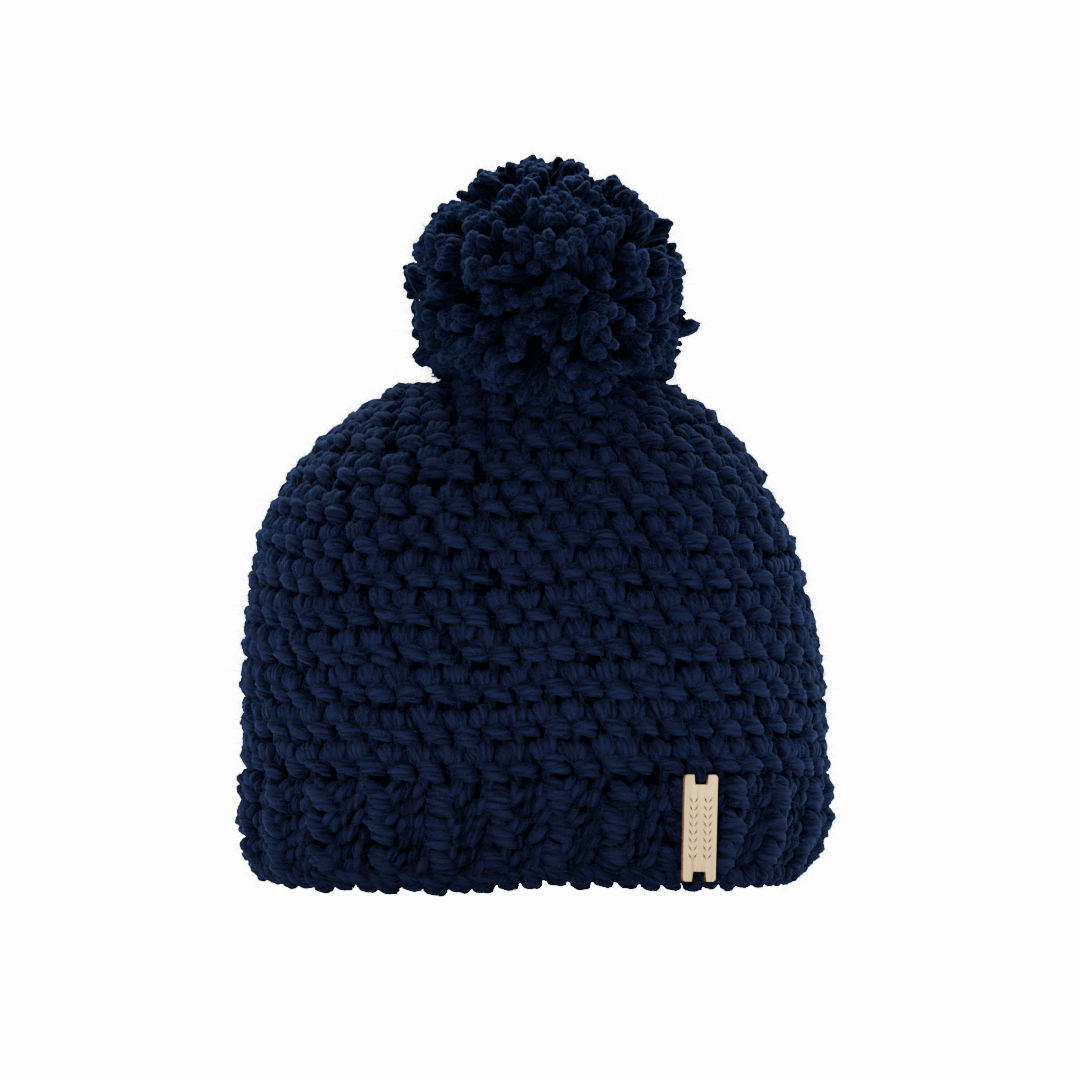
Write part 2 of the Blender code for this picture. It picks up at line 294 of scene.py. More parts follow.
def tube_faces(count, rings, sides, first=0):
    """Loops and starts of the side quads and end caps of many equal tubes."""
    ring = np.arange(rings - 1)[:, None] * sides
    side = np.arange(sides)[None, :]
    after = (side + 1) % sides
    quad = np.stack([ring + side, ring + after, ring + sides + after, ring + sides + side], axis=-1)
    base = first + np.arange(count) * rings * sides
    quads = (base[:, None, None] + quad.reshape(1, -1, 4)).reshape(-1)
    foot = base[:, None] + np.arange(sides)[::-1][None, :]
    head = base[:, None] + (rings - 1) * sides + np.arange(sides)[None, :]
    caps = np.concatenate([foot, head]).reshape(-1)
    starts = np.concatenate([np.arange(len(quads) // 4) * 4,
                             len(quads) + np.arange(2 * count) * sides])
    return np.concatenate([quads, caps]), starts


def lumps(points, finest):
    """A cheap smooth noise, about -1 to 1, with lumps a few times the finest length."""
    x, y, z = (points[..., axis] / finest for axis in range(3))
    return (np.sin(1.00 * x + 1.7 * np.sin(0.61 * y + 0.4)) * np.sin(0.93 * y - 0.5 * z)
            + np.sin(0.88 * z + 1.3 * np.sin(0.73 * x - 0.9)) * np.cos(0.81 * x + 0.66 * y)) * 0.7


def tube_shell(centre, side_hint, radius, sides, lobes=0.0, twist=0.0, rough=0.0):
    """The rings of many tubes: centre (n, k, 3), outward hints (n, k, 3), radii (n, k).

    Lobes are the fibre bundles that show round a ply, twist turns them along it, and rough
    adds small lumps. Also returns the yarn coordinates, the lobes' wave and two directions."""
    along = unit(np.gradient(centre, axis=1))
    across = unit(np.cross(along, side_hint))
    outward = np.cross(across, along)
    length = np.linalg.norm(np.diff(centre, axis=1), axis=-1)
    run = np.concatenate([np.zeros((len(centre), 1)), np.cumsum(length, axis=1)], axis=1)
    phase = RANDOM.uniform(0, 2 * np.pi, (len(centre), 1))
    angle = np.arange(sides) * 2 * np.pi / sides
    swirl = phase + run * twist
    wave = np.cos(5 * (angle[None, None, :] - swirl[..., None]))
    slower = angle[None, None, :] - swirl[..., None] * 0.6
    wave = wave + 0.5 * np.cos(2 * slower + phase[..., None])
    spoke = (np.cos(angle)[:, None] * across[:, :, None, :]
             + np.sin(angle)[:, None] * outward[:, :, None, :])
    near = centre[:, :, None, :] + spoke * radius[..., None, None]
    reach = radius[..., None] * (1.0 + lobes * wave + rough * lumps(near, 0.6 * MM))
    ring = centre[:, :, None, :] + spoke * reach[..., None]
    turned = angle[None, None, :] - swirl[..., None]
    seed = RANDOM.uniform(0, 40, (len(centre), 1, 1, 3))
    fibre = np.stack([
        radius[..., None] * np.cos(turned),
        radius[..., None] * np.sin(turned),
        np.broadcast_to(run[..., None] * 0.13, turned.shape),
    ], axis=-1) / MM + seed
    return ring, fibre, wave, along, outward


class Yarn:
    """Gathers strands of one piece, and remembers where fuzz can grow from them."""

    def __init__(self):
        self.points, self.fibres, self.tones, self.loops, self.starts = [], [], [], [], []
        self.vertices = self.corners = 0
        self.roots, self.root_along, self.root_out = [], [], []

    def add(self, centre, side_hint, radius, sides=8, fuzz=True, tone=0.0, ridge=0.0, **shape):
        """Adds strands. Their colour carries painted light: the painted shade and highlight that
        they are given, with a random part of their own, painted shade in the grooves between fibre
        bundles, and a painted highlight along their outer side with painted shade on the sides that
        face their neighbours.
        """
        ring, fibre, wave, along, outward = tube_shell(centre, side_hint, radius, sides, **shape)
        count, rings = radius.shape
        loops, starts = tube_faces(count, rings, sides, self.vertices)
        self.points.append(ring.reshape(-1, 3))
        self.fibres.append(fibre.reshape(-1, 3))
        # Painted highlight along the outer side of each strand, and painted shade on the sides that
        # face its neighbours.
        facing = np.sin(np.arange(sides) * 2 * np.pi / sides) - 0.45
        shade = 0.04 * wave + np.broadcast_to(tone, radius.shape)[..., None] + ridge * facing
        self.tones.append(np.broadcast_to(shade, ring.shape[:3]).reshape(-1))
        self.loops.append(loops)
        self.starts.append(starts + self.corners)
        self.vertices += count * rings * sides
        self.corners += len(loops)
        if fuzz:
            inner = slice(1, rings - 1)
            self.roots.append((centre + outward * radius[..., None] * 0.8)[:, inner].reshape(-1, 3))
            self.root_along.append(along[:, inner].reshape(-1, 3))
            self.root_out.append(outward[:, inner].reshape(-1, 3))

    def build(self, name, material):
        """One object of all the strands."""
        return mesh_object(name, np.concatenate(self.points), np.concatenate(self.loops),
                           np.concatenate(self.starts), np.concatenate(self.fibres),
                           np.concatenate(self.tones), material)

    def fuzz_roots(self):
        """Places on the strands' outer side, with the direction along the yarn and outward."""
        return (np.concatenate(self.roots), np.concatenate(self.root_along),
                np.concatenate(self.root_out))


def leaf_radius(radius, steps):
    """Radii along a strand that swells in the middle and tucks in at both ends."""
    t = np.linspace(-1.0, 1.0, steps)
    swell = (1.0 - np.abs(t) ** 2.6) ** 0.42
    return np.asarray(radius)[..., None] * np.maximum(swell, 0.15)


def ride(obj, body, slot, *nodes):
    """Fixes a piece to its body, and hides the CAD nodes that it stands for. Its finish, slot, is
    not used.
    """
    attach(obj, body)
    if nodes:
        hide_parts(*nodes)
    return obj


# ---------------------------------------------------------------- materials

def new_material(name):
    """A material, its node tree and its shader."""
    material = bpy.data.materials.new(name)
    material.use_nodes = True
    tree = material.node_tree
    return material, tree, tree.nodes["Principled BSDF"]


def add_node(tree, kind, settings=(), **values):
    """A node with its settings and its input values."""
    node = tree.nodes.new(kind)
    for key, value in dict(settings).items():
        setattr(node, key, value)
    for key, value in values.items():
        node.inputs[key.replace("_", " ")].default_value = value
    return node


def ramp(tree, source, stops):
    """The colour that a value picks out between stops of (place, colour)."""
    node = tree.nodes.new("ShaderNodeValToRGB")
    elements = node.color_ramp.elements
    while len(elements) < len(stops):
        elements.new(0.5)
    for element, (place, colour) in zip(elements, stops):
        element.position = place
        element.color = (*colour, 1.0)
    tree.links.new(source, node.inputs["Fac"])
    return node.outputs["Color"]


def wool_material(name, dark, middle, light, sheen):
    """Navy wool: fibre streaks that run with the ply, a mottled colour, painted shade and highlight
    from an attribute, and a soft sheen.
    """
    material, tree, shader = new_material(name)
    place = add_node(tree, "ShaderNodeAttribute", {"attribute_name": "fibre"})
    streaks = add_node(tree, "ShaderNodeTexNoise", Scale=1.5, Detail=4.0, Roughness=0.65)
    plies = add_node(tree, "ShaderNodeTexNoise", Scale=0.62, Detail=2.0, Roughness=0.5)
    for node in (streaks, plies):
        tree.links.new(place.outputs["Vector"], node.inputs["Vector"])
    mixed = add_node(tree, "ShaderNodeMath", {"operation": "MULTIPLY_ADD"})
    tree.links.new(plies.outputs["Fac"], mixed.inputs[0])
    mixed.inputs[1].default_value = 0.45
    scaled = add_node(tree, "ShaderNodeMath", {"operation": "MULTIPLY"})
    tree.links.new(streaks.outputs["Fac"], scaled.inputs[0])
    scaled.inputs[1].default_value = 0.55
    tree.links.new(scaled.outputs[0], mixed.inputs[2])
    # Painted light: an attribute darkens the wool where shade falls and lightens it where highlight
    # falls, with a random part of its own.
    tone = add_node(tree, "ShaderNodeAttribute", {"attribute_name": "tone"})
    painted_light_added = add_node(tree, "ShaderNodeMath", {"operation": "ADD"})
    tree.links.new(tone.outputs["Fac"], painted_light_added.inputs[0])
    tree.links.new(mixed.outputs[0], painted_light_added.inputs[1])
    colour = ramp(tree, painted_light_added.outputs[0], [(0.32, dark), (0.50, middle), (0.66, light)])
    tree.links.new(colour, shader.inputs["Base Color"])
    relief = add_node(tree, "ShaderNodeBump", Strength=0.55, Distance=0.0006)
    tree.links.new(mixed.outputs[0], relief.inputs["Height"])
    tree.links.new(relief.outputs["Normal"], shader.inputs["Normal"])
    shader.inputs["Roughness"].default_value = 0.92
    shader.inputs["Specular IOR Level"].default_value = 0.04
    shader.inputs["Sheen Weight"].default_value = sheen
    shader.inputs["Sheen Roughness"].default_value = 0.45
    shader.inputs["Sheen Tint"].default_value = (0.14, 0.36, 0.95, 1.0)
    return material


def painted_shade_material():
    """Painted shade: the wool deep between the stitches, coloured near black as it looks in shadow.
    """
    material, tree, shader = new_material("wool_in_shade")
    place = add_node(tree, "ShaderNodeTexCoord")
    mottle = add_node(tree, "ShaderNodeTexNoise", Scale=420.0, Detail=3.0)
    tree.links.new(place.outputs["Object"], mottle.inputs["Vector"])
    colour = ramp(tree, mottle.outputs["Fac"],
                  [(0.35, (0.0004, 0.0005, 0.0014)), (0.65, (0.0014, 0.0017, 0.0050))])
    tree.links.new(colour, shader.inputs["Base Color"])
    shader.inputs["Roughness"].default_value = 1.0
    shader.inputs["Specular IOR Level"].default_value = 0.01
    return material


def maple_material():
    """Pale maple, with its grain running up the tag."""
    material, tree, shader = new_material("maple_veneer")
    place = add_node(tree, "ShaderNodeTexCoord")
    stretch = add_node(tree, "ShaderNodeMapping")
    stretch.inputs["Scale"].default_value = (620.0, 620.0, 48.0)
    tree.links.new(place.outputs["Object"], stretch.inputs["Vector"])
    grain = add_node(tree, "ShaderNodeTexNoise", Scale=1.0, Detail=5.0, Roughness=0.6,
                     Distortion=0.4)
    tree.links.new(stretch.outputs["Vector"], grain.inputs["Vector"])
    colour = ramp(tree, grain.outputs["Fac"], [
        (0.30, (0.74, 0.385, 0.112)),
        (0.48, (0.96, 0.590, 0.200)),
        (0.62, (0.99, 0.690, 0.265)),
    ])
    tree.links.new(colour, shader.inputs["Base Color"])
    relief = add_node(tree, "ShaderNodeBump", Strength=0.25, Distance=0.0002)
    tree.links.new(grain.outputs["Fac"], relief.inputs["Height"])
    tree.links.new(relief.outputs["Normal"], shader.inputs["Normal"])
    shader.inputs["Roughness"].default_value = 0.62
    return material


def scorched_material():
    """Maple browned by the laser that cut it."""
    material, tree, shader = new_material("scorched_maple")
    place = add_node(tree, "ShaderNodeTexCoord")
    mottle = add_node(tree, "ShaderNodeTexNoise", Scale=900.0, Detail=3.0)
    tree.links.new(place.outputs["Object"], mottle.inputs["Vector"])
    colour = ramp(tree, mottle.outputs["Fac"], [
        (0.30, (0.085, 0.030, 0.010)),
        (0.55, (0.26, 0.10, 0.035)),
        (0.75, (0.42, 0.19, 0.075)),
    ])
    tree.links.new(colour, shader.inputs["Base Color"])
    shader.inputs["Roughness"].default_value = 0.8
    return material


# ---------------------------------------------------------------- crochet

# One stitch's strands, as (u, v) at both ends in stitch widths and round heights, then
# radius, height of the middle and height of the ends above the surface, in mm.
BODY_STITCH = (
    ((0.00, 0.63), (0.80, 0.46), 1.85, -1.5, -3.8),
    ((-0.03, 0.53), (0.91, 0.32), 2.10, -0.8, -3.6),
    ((0.06, 0.40), (0.93, 0.18), 1.90, -1.3, -3.8),
    ((-0.07, 0.56), (-0.25, 1.05), 1.90, -1.7, -3.8),
    ((0.00, 0.58), (-0.05, 1.12), 1.85, -1.4, -3.8),
    ((0.09, 0.58), (0.16, 1.12), 1.85, -1.4, -3.8),
    ((0.25, 0.55), (0.37, 1.05), 1.90, -1.7, -3.8),
    ((0.66, 0.40), (0.60, 0.98), 1.90, -3.4, -5.0),
    ((0.16, -0.12), (0.20, 0.45), 2.00, -3.8, -5.0),
)
RIB_STITCH = (
    ((0.03, 1.02), (0.30, 0.66), 2.00, 0.2, -3.2),
    ((-0.01, 0.84), (0.40, 0.52), 2.25, 1.0, -3.0),
    ((-0.02, 0.60), (0.42, 0.28), 2.25, 1.0, -3.0),
    ((0.02, 0.34), (0.40, 0.04), 2.10, 0.5, -3.2),
    ((0.28, 0.58), (0.48, 1.04), 2.00, -0.5, -3.6),
    ((0.40, 0.36), (0.58, 0.86), 1.95, -1.4, -3.8),
    ((0.56, 0.02), (0.76, 0.56), 2.10, -2.6, -4.8),
    ((0.70, 0.10), (0.93, 0.64), 2.20, -2.2, -4.6),
    ((0.60, 0.52), (0.76, 1.04), 2.00, -2.6, -4.8),
    ((0.82, 0.60), (0.98, 1.08), 2.00, -2.0, -4.4),
    ((0.92, 0.00), (0.97, 0.50), 2.00, -3.4, -5.0),
    ((0.46, -0.10), (0.50, 0.40), 2.00, -3.6, -5.0),
)
EDGE_STITCH = (
    ((0.00, 1.08), (0.80, 0.22), 2.20, -0.4, -2.8),
    ((0.34, 1.14), (1.14, 0.30), 2.10, -0.9, -3.0),
    ((0.04, 0.26), (0.98, 0.04), 2.30, -1.8, -3.0),
    ((-0.20, 0.42), (1.20, 0.42), 2.30, -2.2, -2.2),
    ((-0.20, 0.36), (1.20, 0.36), 2.40, -5.6, -5.6),
)
INSIDE_STITCH = (
    ((0.00, 0.22), (1.00, 0.14), 2.1, -9.2, -7.0),
    ((0.00, 0.42), (1.00, 0.36), 2.1, -8.8, -7.0),
    ((0.05, 0.55), (0.42, 1.02), 2.0, -8.6, -7.0),
    ((0.95, 0.55), (0.58, 1.02), 2.0, -8.6, -7.0),
)
STRAND_STEPS = 9
TAG_PRESS = -3.4 * MM


def stitch_strands(pattern, count, first_around, low, high):
    """Centres, outward hints, radii and painted shade, with random variation, of one round's
    strands, count stitches round.
    """
    t = np.linspace(0.0, 1.0, STRAND_STEPS)
    arch = 1.0 - (2 * t - 1) ** 2
    shape = (count, len(pattern))
    start = np.array([leaf[0] for leaf in pattern])
    end = np.array([leaf[1] for leaf in pattern])
    radius = np.array([leaf[2] for leaf in pattern]) * MM
    middle = np.array([leaf[3] for leaf in pattern]) * MM
    tips = np.array([leaf[4] for leaf in pattern]) * MM

    stitch_shift = RANDOM.normal(0, 0.055, (count, 1, 2))
    begins = start + stitch_shift + RANDOM.normal(0, 0.035, (*shape, 2))
    finishes = end + stitch_shift + RANDOM.normal(0, 0.035, (*shape, 2))
    place = begins[..., None, :] + (finishes - begins)[..., None, :] * t[:, None]
    bow = RANDOM.normal(0.03, 0.03, (*shape, 1)) * arch
    around = first_around + (np.arange(count)[:, None, None] + place[..., 0] + bow * 0.6) / count
    wave = 0.08 * np.sin(2 * np.pi * (3 * around + first_around * 5))
    wave = wave + 0.05 * np.sin(2 * np.pi * (8 * around - first_around * 7))
    up = low + (high - low) * (place[..., 1] + bow + wave)
    lift = RANDOM.normal(0, 0.25 * MM, (*shape, 1)) + RANDOM.normal(0, 0.3 * MM, (count, 1, 1))
    out = tips[:, None] + (middle - tips)[:, None] * arch**0.8 + lift
    out = np.where(out > TAG_PRESS, out - (out - TAG_PRESS) * under_tag(around, up), out)
    centre, outward = cap_place(around, up, out)
    fat = radius * RANDOM.normal(1.0, 0.07, shape)
    radii = leaf_radius(fat, STRAND_STEPS)
    # Painted shade: strands darker towards their ends, where they dive into the fabric, and darker
    # still where they lie deep in it. The random part on the next line is the yarn's own variation.
    tone = 0.17 * arch**0.7 - 0.11 - np.where(middle < -2.2 * MM, 0.07, 0.0)[:, None]
    tone = tone + RANDOM.normal(0, 0.012, (*shape, 1))
    total = count * len(pattern)
    return (centre.reshape(total, STRAND_STEPS, 3), outward.reshape(total, STRAND_STEPS, 3),
            radii.reshape(total, STRAND_STEPS), tone.reshape(total, STRAND_STEPS))


def add_round(yarn, pattern, count, first_around, low, high, sides=12, fuzz=True):
    """Adds a whole round of stitches to a yarn."""
    centre, outward, radii, tone = stitch_strands(pattern, count, first_around, low, high)
    yarn.add(centre, outward, radii, sides, fuzz, tone, ridge=0.10, lobes=0.08, rough=0.07,
             twist=YARN_TWIST)


def body_rounds():
    """(low, high, stitches) of every round above the ribbing, up to the gather hole."""
    rounds = []
    low = up_at_height(BAND_TOP)
    left = int(round((TOTAL_UP - low) / ROUND_HEIGHT))
    height = (TOTAL_UP - low) / left
    for number in range(left):
        middle = low + height * (number + 0.5)
        stitches = max(8, int(round(girth_at(middle) / STITCH_WIDTH)))
        rounds.append((low + height * number, low + height * (number + 1), stitches))
    return rounds


def shell_band(name, low, high, outer, inner, material, steps_round, steps_up):
    """The dense layer behind the stitches: a closed band from its outer to its inner face."""
    around = np.arange(steps_round) / steps_round
    heights = np.linspace(low, high, steps_up)
    rows = [cap_place(around, np.full(steps_round, up), np.full(steps_round, outer))[0]
            for up in heights]
    rows += [cap_place(around, np.full(steps_round, up), np.full(steps_round, inner))[0]
             for up in heights[::-1]]
    points = np.array(rows)
    row = np.arange(len(rows))[:, None]
    side = np.arange(steps_round)[None, :]
    beyond = (side + 1) % steps_round
    above = (row + 1) % len(rows)
    quads = np.stack([row * steps_round + side, row * steps_round + beyond,
                      above * steps_round + beyond, above * steps_round + side], axis=-1)
    loops = quads.reshape(-1)
    starts = np.arange(len(loops) // 4) * 4
    flat = points.reshape(-1, 3)
    return mesh_object(name, flat, loops, starts, flat / MM, np.zeros(len(flat)), material)


def build_ribbing(wool):
    """The edge round along the hem and the ribbing above it. Returns their yarns."""
    edge = Yarn()
    count = int(round(GIRTH / EDGE_STITCH_WIDTH))
    add_round(edge, EDGE_STITCH, count, 0.003, EDGE_LOW, EDGE_HIGH)
    ride(edge.build("hem_edge_yarn", wool), "hat", "navy_wool", "hem_edge")
    grown = [edge]

    tier_height = (up_at_height(BAND_TOP) - BAND_BOTTOM) / RIB_TIERS
    for tier in range(RIB_TIERS):
        band = Yarn()
        low = BAND_BOTTOM + tier_height * tier
        add_round(band, RIB_STITCH, RIBS, 0.004 + 0.002 * tier, low, low + tier_height)
        grown.append(band)
        nodes = ("ribbed_band",) if tier == 0 else ()
        ride(band.build(f"ribbing_round_{tier + 1}", wool), "hat", "navy_wool", *nodes)
    return grown


def build_rounds(rounds, body_count, wool):
    """The crochet rounds of body and crown, each begun a little further round. Returns yarns."""
    grown = []
    first = 0.0
    for number, (low, high, stitches) in enumerate(rounds):
        yarn = Yarn()
        first += ROUND_LEAN / stitches
        add_round(yarn, BODY_STITCH, stitches, first, low, high)
        grown.append(yarn)
        obj = yarn.build(f"crochet_round_{number + 1:02d}", wool)
        nodes = {0: ("body_fabric",), body_count: ("crown_fabric",)}.get(number, ())
        ride(obj, "hat", "navy_wool", *nodes)
    return grown


def build_inside(rounds, body_count, wool):
    """The plainer stitches that the fabric shows on its inside."""
    lows = [INSIDE_TIER_LOW + INSIDE_TIER_HEIGHT * tier for tier in range(RIB_TIERS)]
    ribs = [(low, low + INSIDE_TIER_HEIGHT, RIBS * 2) for low in lows]
    sections = (
        ("inside_rib_stitches", ribs),
        ("inside_body_stitches", rounds[:body_count // 2]),
        ("inside_upper_stitches", rounds[body_count // 2:body_count]),
        ("inside_crown_stitches", rounds[body_count:]),
    )
    for name, section in sections:
        inside = Yarn()
        for number, (low, high, stitches) in enumerate(section):
            first = 0.01 * number
            add_round(inside, INSIDE_STITCH, stitches, first, low, high, sides=6, fuzz=False)
        ride(inside.build(name, wool), "hat", "navy_wool")


def build_cap(wool, shade):
    """Every crocheted piece of the cap. Returns the yarns that fuzz grows from."""
    grown = build_ribbing(wool)
    rounds = body_rounds()
    body_count = sum(1 for low, _, _ in rounds if low < up_at_height(CROWN_START))
    grown += build_rounds(rounds, body_count, wool)
    build_inside(rounds, body_count, wool)
    # A sheet in painted shade behind the stitches, which shows near black through the holes between
    # them.
    core = shell_band("fabric_core", 0.004, TOTAL_UP, CORE_OUTSIDE, CORE_INSIDE, shade, 220, 40)
    ride(core, "hat", "navy_wool")
    return grown


# ---------------------------------------------------------------- fuzz

def fuzz_object(name, roots, along, outward, count, thickness, lean, material):
    """Short curved fibres that stand off the yarn, each a thin three-sided tube."""
    steps = 3
    pick = RANDOM.integers(0, len(roots), count)
    root = roots[pick] + RANDOM.normal(0, 0.6 * MM, (count, 3))
    swing = RANDOM.normal(0, 1.0, (count, 3))
    side = RANDOM.choice([-1.0, 1.0], (count, 1))
    heading = unit(outward[pick] * RANDOM.uniform(0.25, 1.0, (count, 1))
                   + along[pick] * side * lean + 0.35 * swing)
    bend = unit(np.cross(heading, RANDOM.normal(0, 1, (count, 3))))
    reach = FUZZ_LENGTH * RANDOM.gamma(3.0, 0.33, (count, 1))
    t = np.linspace(0.0, 1.0, steps)[None, :, None]
    curl = RANDOM.uniform(-0.7, 0.7, (count, 1))
    centre = (root[:, None, :] + heading[:, None, :] * reach[:, :, None] * t
              + bend[:, None, :] * (reach * curl)[:, :, None] * t**2)
    radius = thickness / 2 * (1.0 - 0.7 * np.linspace(0, 1, steps)) * np.ones((count, 1))
    yarn = Yarn()
    hint = np.broadcast_to(bend[:, None, :], centre.shape)
    # Painted sheen: the fibres are coloured lighter than the yarn that they grow from.
    yarn.add(centre, hint, radius, sides=3, fuzz=False, tone=0.20)
    return yarn.build(name, material)


# ---------------------------------------------------------------- cords and knots

def plied_cord(yarn, points, radius, pitch=0.011):
    """One strand of plied yarn along a line of points, its ends rounded off."""
    points = np.asarray(points, float)
    length = np.concatenate([[0.0], np.cumsum(np.linalg.norm(np.diff(points, axis=0), axis=1))])
    steps = max(8, int(length[-1] / (0.9 * MM)))
    run = np.linspace(0.0, length[-1], steps)
    line = np.stack([np.interp(run, length, points[:, axis]) for axis in range(3)], axis=-1)
    along = unit(np.gradient(line, axis=0))
    hint = np.array([0.31, 0.62, 0.72])
    side = unit(np.cross(along, hint))
    other = np.cross(along, side)
    edge = np.minimum(run, length[-1] - run) / (radius * 0.9)
    rounded = np.sqrt(1.0 - (1.0 - np.clip(edge, 0.02, 1.0)) ** 2)
    plies = 3
    centres = []
    for ply in range(plies):
        angle = 2 * np.pi * (ply / plies + run / pitch)[:, None]
        offset = (side * np.cos(angle) + other * np.sin(angle)) * (radius * 0.46 * rounded)[:, None]
        centres.append(line + offset)
    radii = np.tile(radius * 0.58 * np.maximum(rounded, 0.15), (plies, 1))
    hints = np.broadcast_to(side, (plies, steps, 3))
    yarn.add(np.array(centres), hints, radii, sides=12, tone=0.02, lobes=0.06, rough=0.05,
             twist=YARN_TWIST)


def circle(centre, radius, first_axis, second_axis):
    """Points round a ring in the plane of two axes."""
    angle = np.linspace(0.0, 2 * np.pi, 80)[:, None]
    return (np.asarray(centre) + radius * np.cos(angle) * np.asarray(first_axis)
            + radius * np.sin(angle) * np.asarray(second_axis))


def knot_line(height, ring, swell, rise):
    """A trefoil wound tight round the upright axis."""
    angle = np.linspace(0.0, 2 * np.pi, 160)
    reach = ring + swell * np.cos(3 * angle)
    return np.stack([reach * np.cos(2 * angle), reach * np.sin(2 * angle),
                     height + rise * np.sin(3 * angle)], axis=-1)


def upright(x, heights, count):
    """Points up an upright line beside the axis."""
    return np.stack([np.full(count, x), np.zeros(count), np.linspace(*heights, count)], axis=-1)


def woven_line():
    """The woven-in end's line, along the inside of the back."""
    across = np.linspace(-WOVEN_HALF_LENGTH, WOVEN_HALF_LENGTH, 24)
    sideways_share = np.abs(across) / (HALF_WIDTH - WOVEN_INSET)
    depth = (HALF_DEPTH - WOVEN_INSET) * (1 - sideways_share**OVAL_POWER) ** (1 / OVAL_POWER)
    wander = 0.0016 * np.sin(across * 260.0)
    return np.stack([across, depth, WOVEN_HEIGHT + wander], axis=-1)


def build_cord(name, body, line, radius, wool):
    """One cord, which stands for the CAD node of the same name without _yarn."""
    yarn = Yarn()
    plied_cord(yarn, line, radius)
    ride(yarn.build(f"{name}_yarn", wool), body, "navy_wool", name)


def build_cords(wool):
    """The gather cord, the binding, the tie with its knots, and the woven-in end."""
    sideways, forwards, upwards = np.eye(3)
    gather = circle((0.0, 0.0, GATHER_HEIGHT), GATHER_RADIUS, sideways, forwards)
    build_cord("gather_cord", "hat", gather, CORD_RADIUS, wool)
    binding = circle((0.0, 0.0, BINDING_HEIGHT), BINDING_RADIUS, forwards, upwards)
    build_cord("pom_binding", "pom_pom", binding, CORD_RADIUS, wool)
    for side, word in ((-1, "left"), (1, "right")):
        tail = upright(side * TIE_SPACING, TAIL_HEIGHTS, 12)
        build_cord(f"tie_tail_{word}", "pom_pom", tail, TIE_RADIUS, wool)
        end = upright(side * TIE_SPACING, TIE_END_HEIGHTS, 8)
        build_cord(f"tie_end_{word}", "hat", end, TIE_RADIUS, wool)
    tie_knot = knot_line(KNOT_HEIGHT, 0.0030, 0.0015, 0.0042)
    build_cord("tie_knot", "tie", tie_knot, TIE_RADIUS, wool)
    inside_knot = knot_line(INSIDE_KNOT_HEIGHT, 0.0058, 0.0022, 0.0044)
    build_cord("inside_knot", "hat", inside_knot, CORD_RADIUS, wool)
    build_cord("woven_in_end", "hat", woven_line(), 0.0020, wool)


# ---------------------------------------------------------------- the wooden tag

def tag_frame():
    """Carries tag coordinates (across, into the fabric, up) to the front of the band."""
    turns = np.array([TAG_TURN - 1e-4, TAG_TURN, TAG_TURN + 1e-4])
    x = HALF_WIDTH * signed_power(np.cos(turns), 2 / OVAL_POWER)
    y = HALF_DEPTH * signed_power(np.sin(turns), 2 / OVAL_POWER)
    facing = math.atan2(y[2] - y[0], x[2] - x[0])
    place = Matrix.Translation((x[1], y[1], TAG_HEIGHT))
    return place @ Matrix.Rotation(facing, 4, "Z") @ Matrix.Rotation(TAG_LEAN, 4, "Y")


def prism(name, outlines, near, far):
    """Closed flat-ended solids standing on outlines in the tag's own x and z."""
    mesh = bmesh.new()
    for outline in outlines:
        base = mesh.faces.new([mesh.verts.new((x, far, z)) for x, z in outline])
        grown = bmesh.ops.extrude_face_region(mesh, geom=[base])
        moved = [part for part in grown["geom"] if isinstance(part, bmesh.types.BMVert)]
        bmesh.ops.translate(mesh, verts=moved, vec=(0.0, near - far, 0.0))
    bmesh.ops.recalc_face_normals(mesh, faces=mesh.faces)
    data = bpy.data.meshes.new(name)
    mesh.to_mesh(data)
    mesh.free()
    obj = bpy.data.objects.new(name, data)
    bpy.context.scene.collection.objects.link(obj)
    return obj


def tag_outline():
    """A rectangle with round corners and a notch in each end, narrower at its base."""
    side = TAG_WIDTH / 2 - TAG_CORNER
    end = TAG_LENGTH / 2 - TAG_CORNER
    quarter = [(NOTCH_BASE / 2, TAG_LENGTH / 2 - NOTCH_DEPTH), (NOTCH_MOUTH / 2, TAG_LENGTH / 2)]
    quarter += [(side + TAG_CORNER * math.sin(angle), end + TAG_CORNER * math.cos(angle))
                for angle in np.linspace(0.0, math.pi / 2, 9)]
    right = quarter + [(x, -z) for x, z in reversed(quarter)]
    return right + [(-x, z) for x, z in reversed(right)]


def knit_marks():
    """Two columns of slanting leaf shapes, like knit stitches, for the engraving."""
    marks = []
    for column in (-1, 1):
        for row in range(8):
            for lean in (-1, 1):
                middle = Vector((column * 2.85 * MM + lean * 1.05 * MM, (row - 3.5) * 3.0 * MM))
                along = Vector((lean * 0.52, 0.85)) * 1.60 * MM
                wide = Vector((0.85, -lean * 0.52)) * 0.44 * MM
                points = (middle - along, middle + wide, middle + along, middle - wide)
                marks.append([(point.x, point.y) for point in points])
    return marks


def build_tag(maple, scorched):
    """The laser-cut plate: pale wood in front, burnt edges and engraving."""
    face = -TAG_STANDOFF - TAG_THICKNESS
    plate = prism("tag_plate_maple", [tag_outline()], face, -TAG_STANDOFF)
    edge = plate.modifiers.new("edge", "BEVEL")
    edge.width = TAG_BEVEL
    edge.segments = 2
    edge.angle_limit = math.radians(50)
    cutter = prism("engraving", knit_marks(), face - 0.5 * MM, face + ENGRAVING_DEPTH)
    engraved = plate.modifiers.new("engraved", "BOOLEAN")
    engraved.operation = "DIFFERENCE"
    engraved.solver = "EXACT"
    engraved.object = cutter
    evaluated = plate.evaluated_get(bpy.context.evaluated_depsgraph_get())
    finished = bpy.data.meshes.new_from_object(evaluated)
    plate.modifiers.clear()
    plate.data = finished
    bpy.data.objects.remove(cutter)
    finished.materials.clear()
    finished.materials.append(maple)
    finished.materials.append(scorched)
    for polygon in finished.polygons:
        in_front = abs(polygon.center.y - face) < 0.02 * MM
        polygon.material_index = 0 if in_front else 1
        polygon.use_smooth = False
    plate.matrix_world = tag_frame()
    ride(plate, "hat", "maple", "tag_plate")


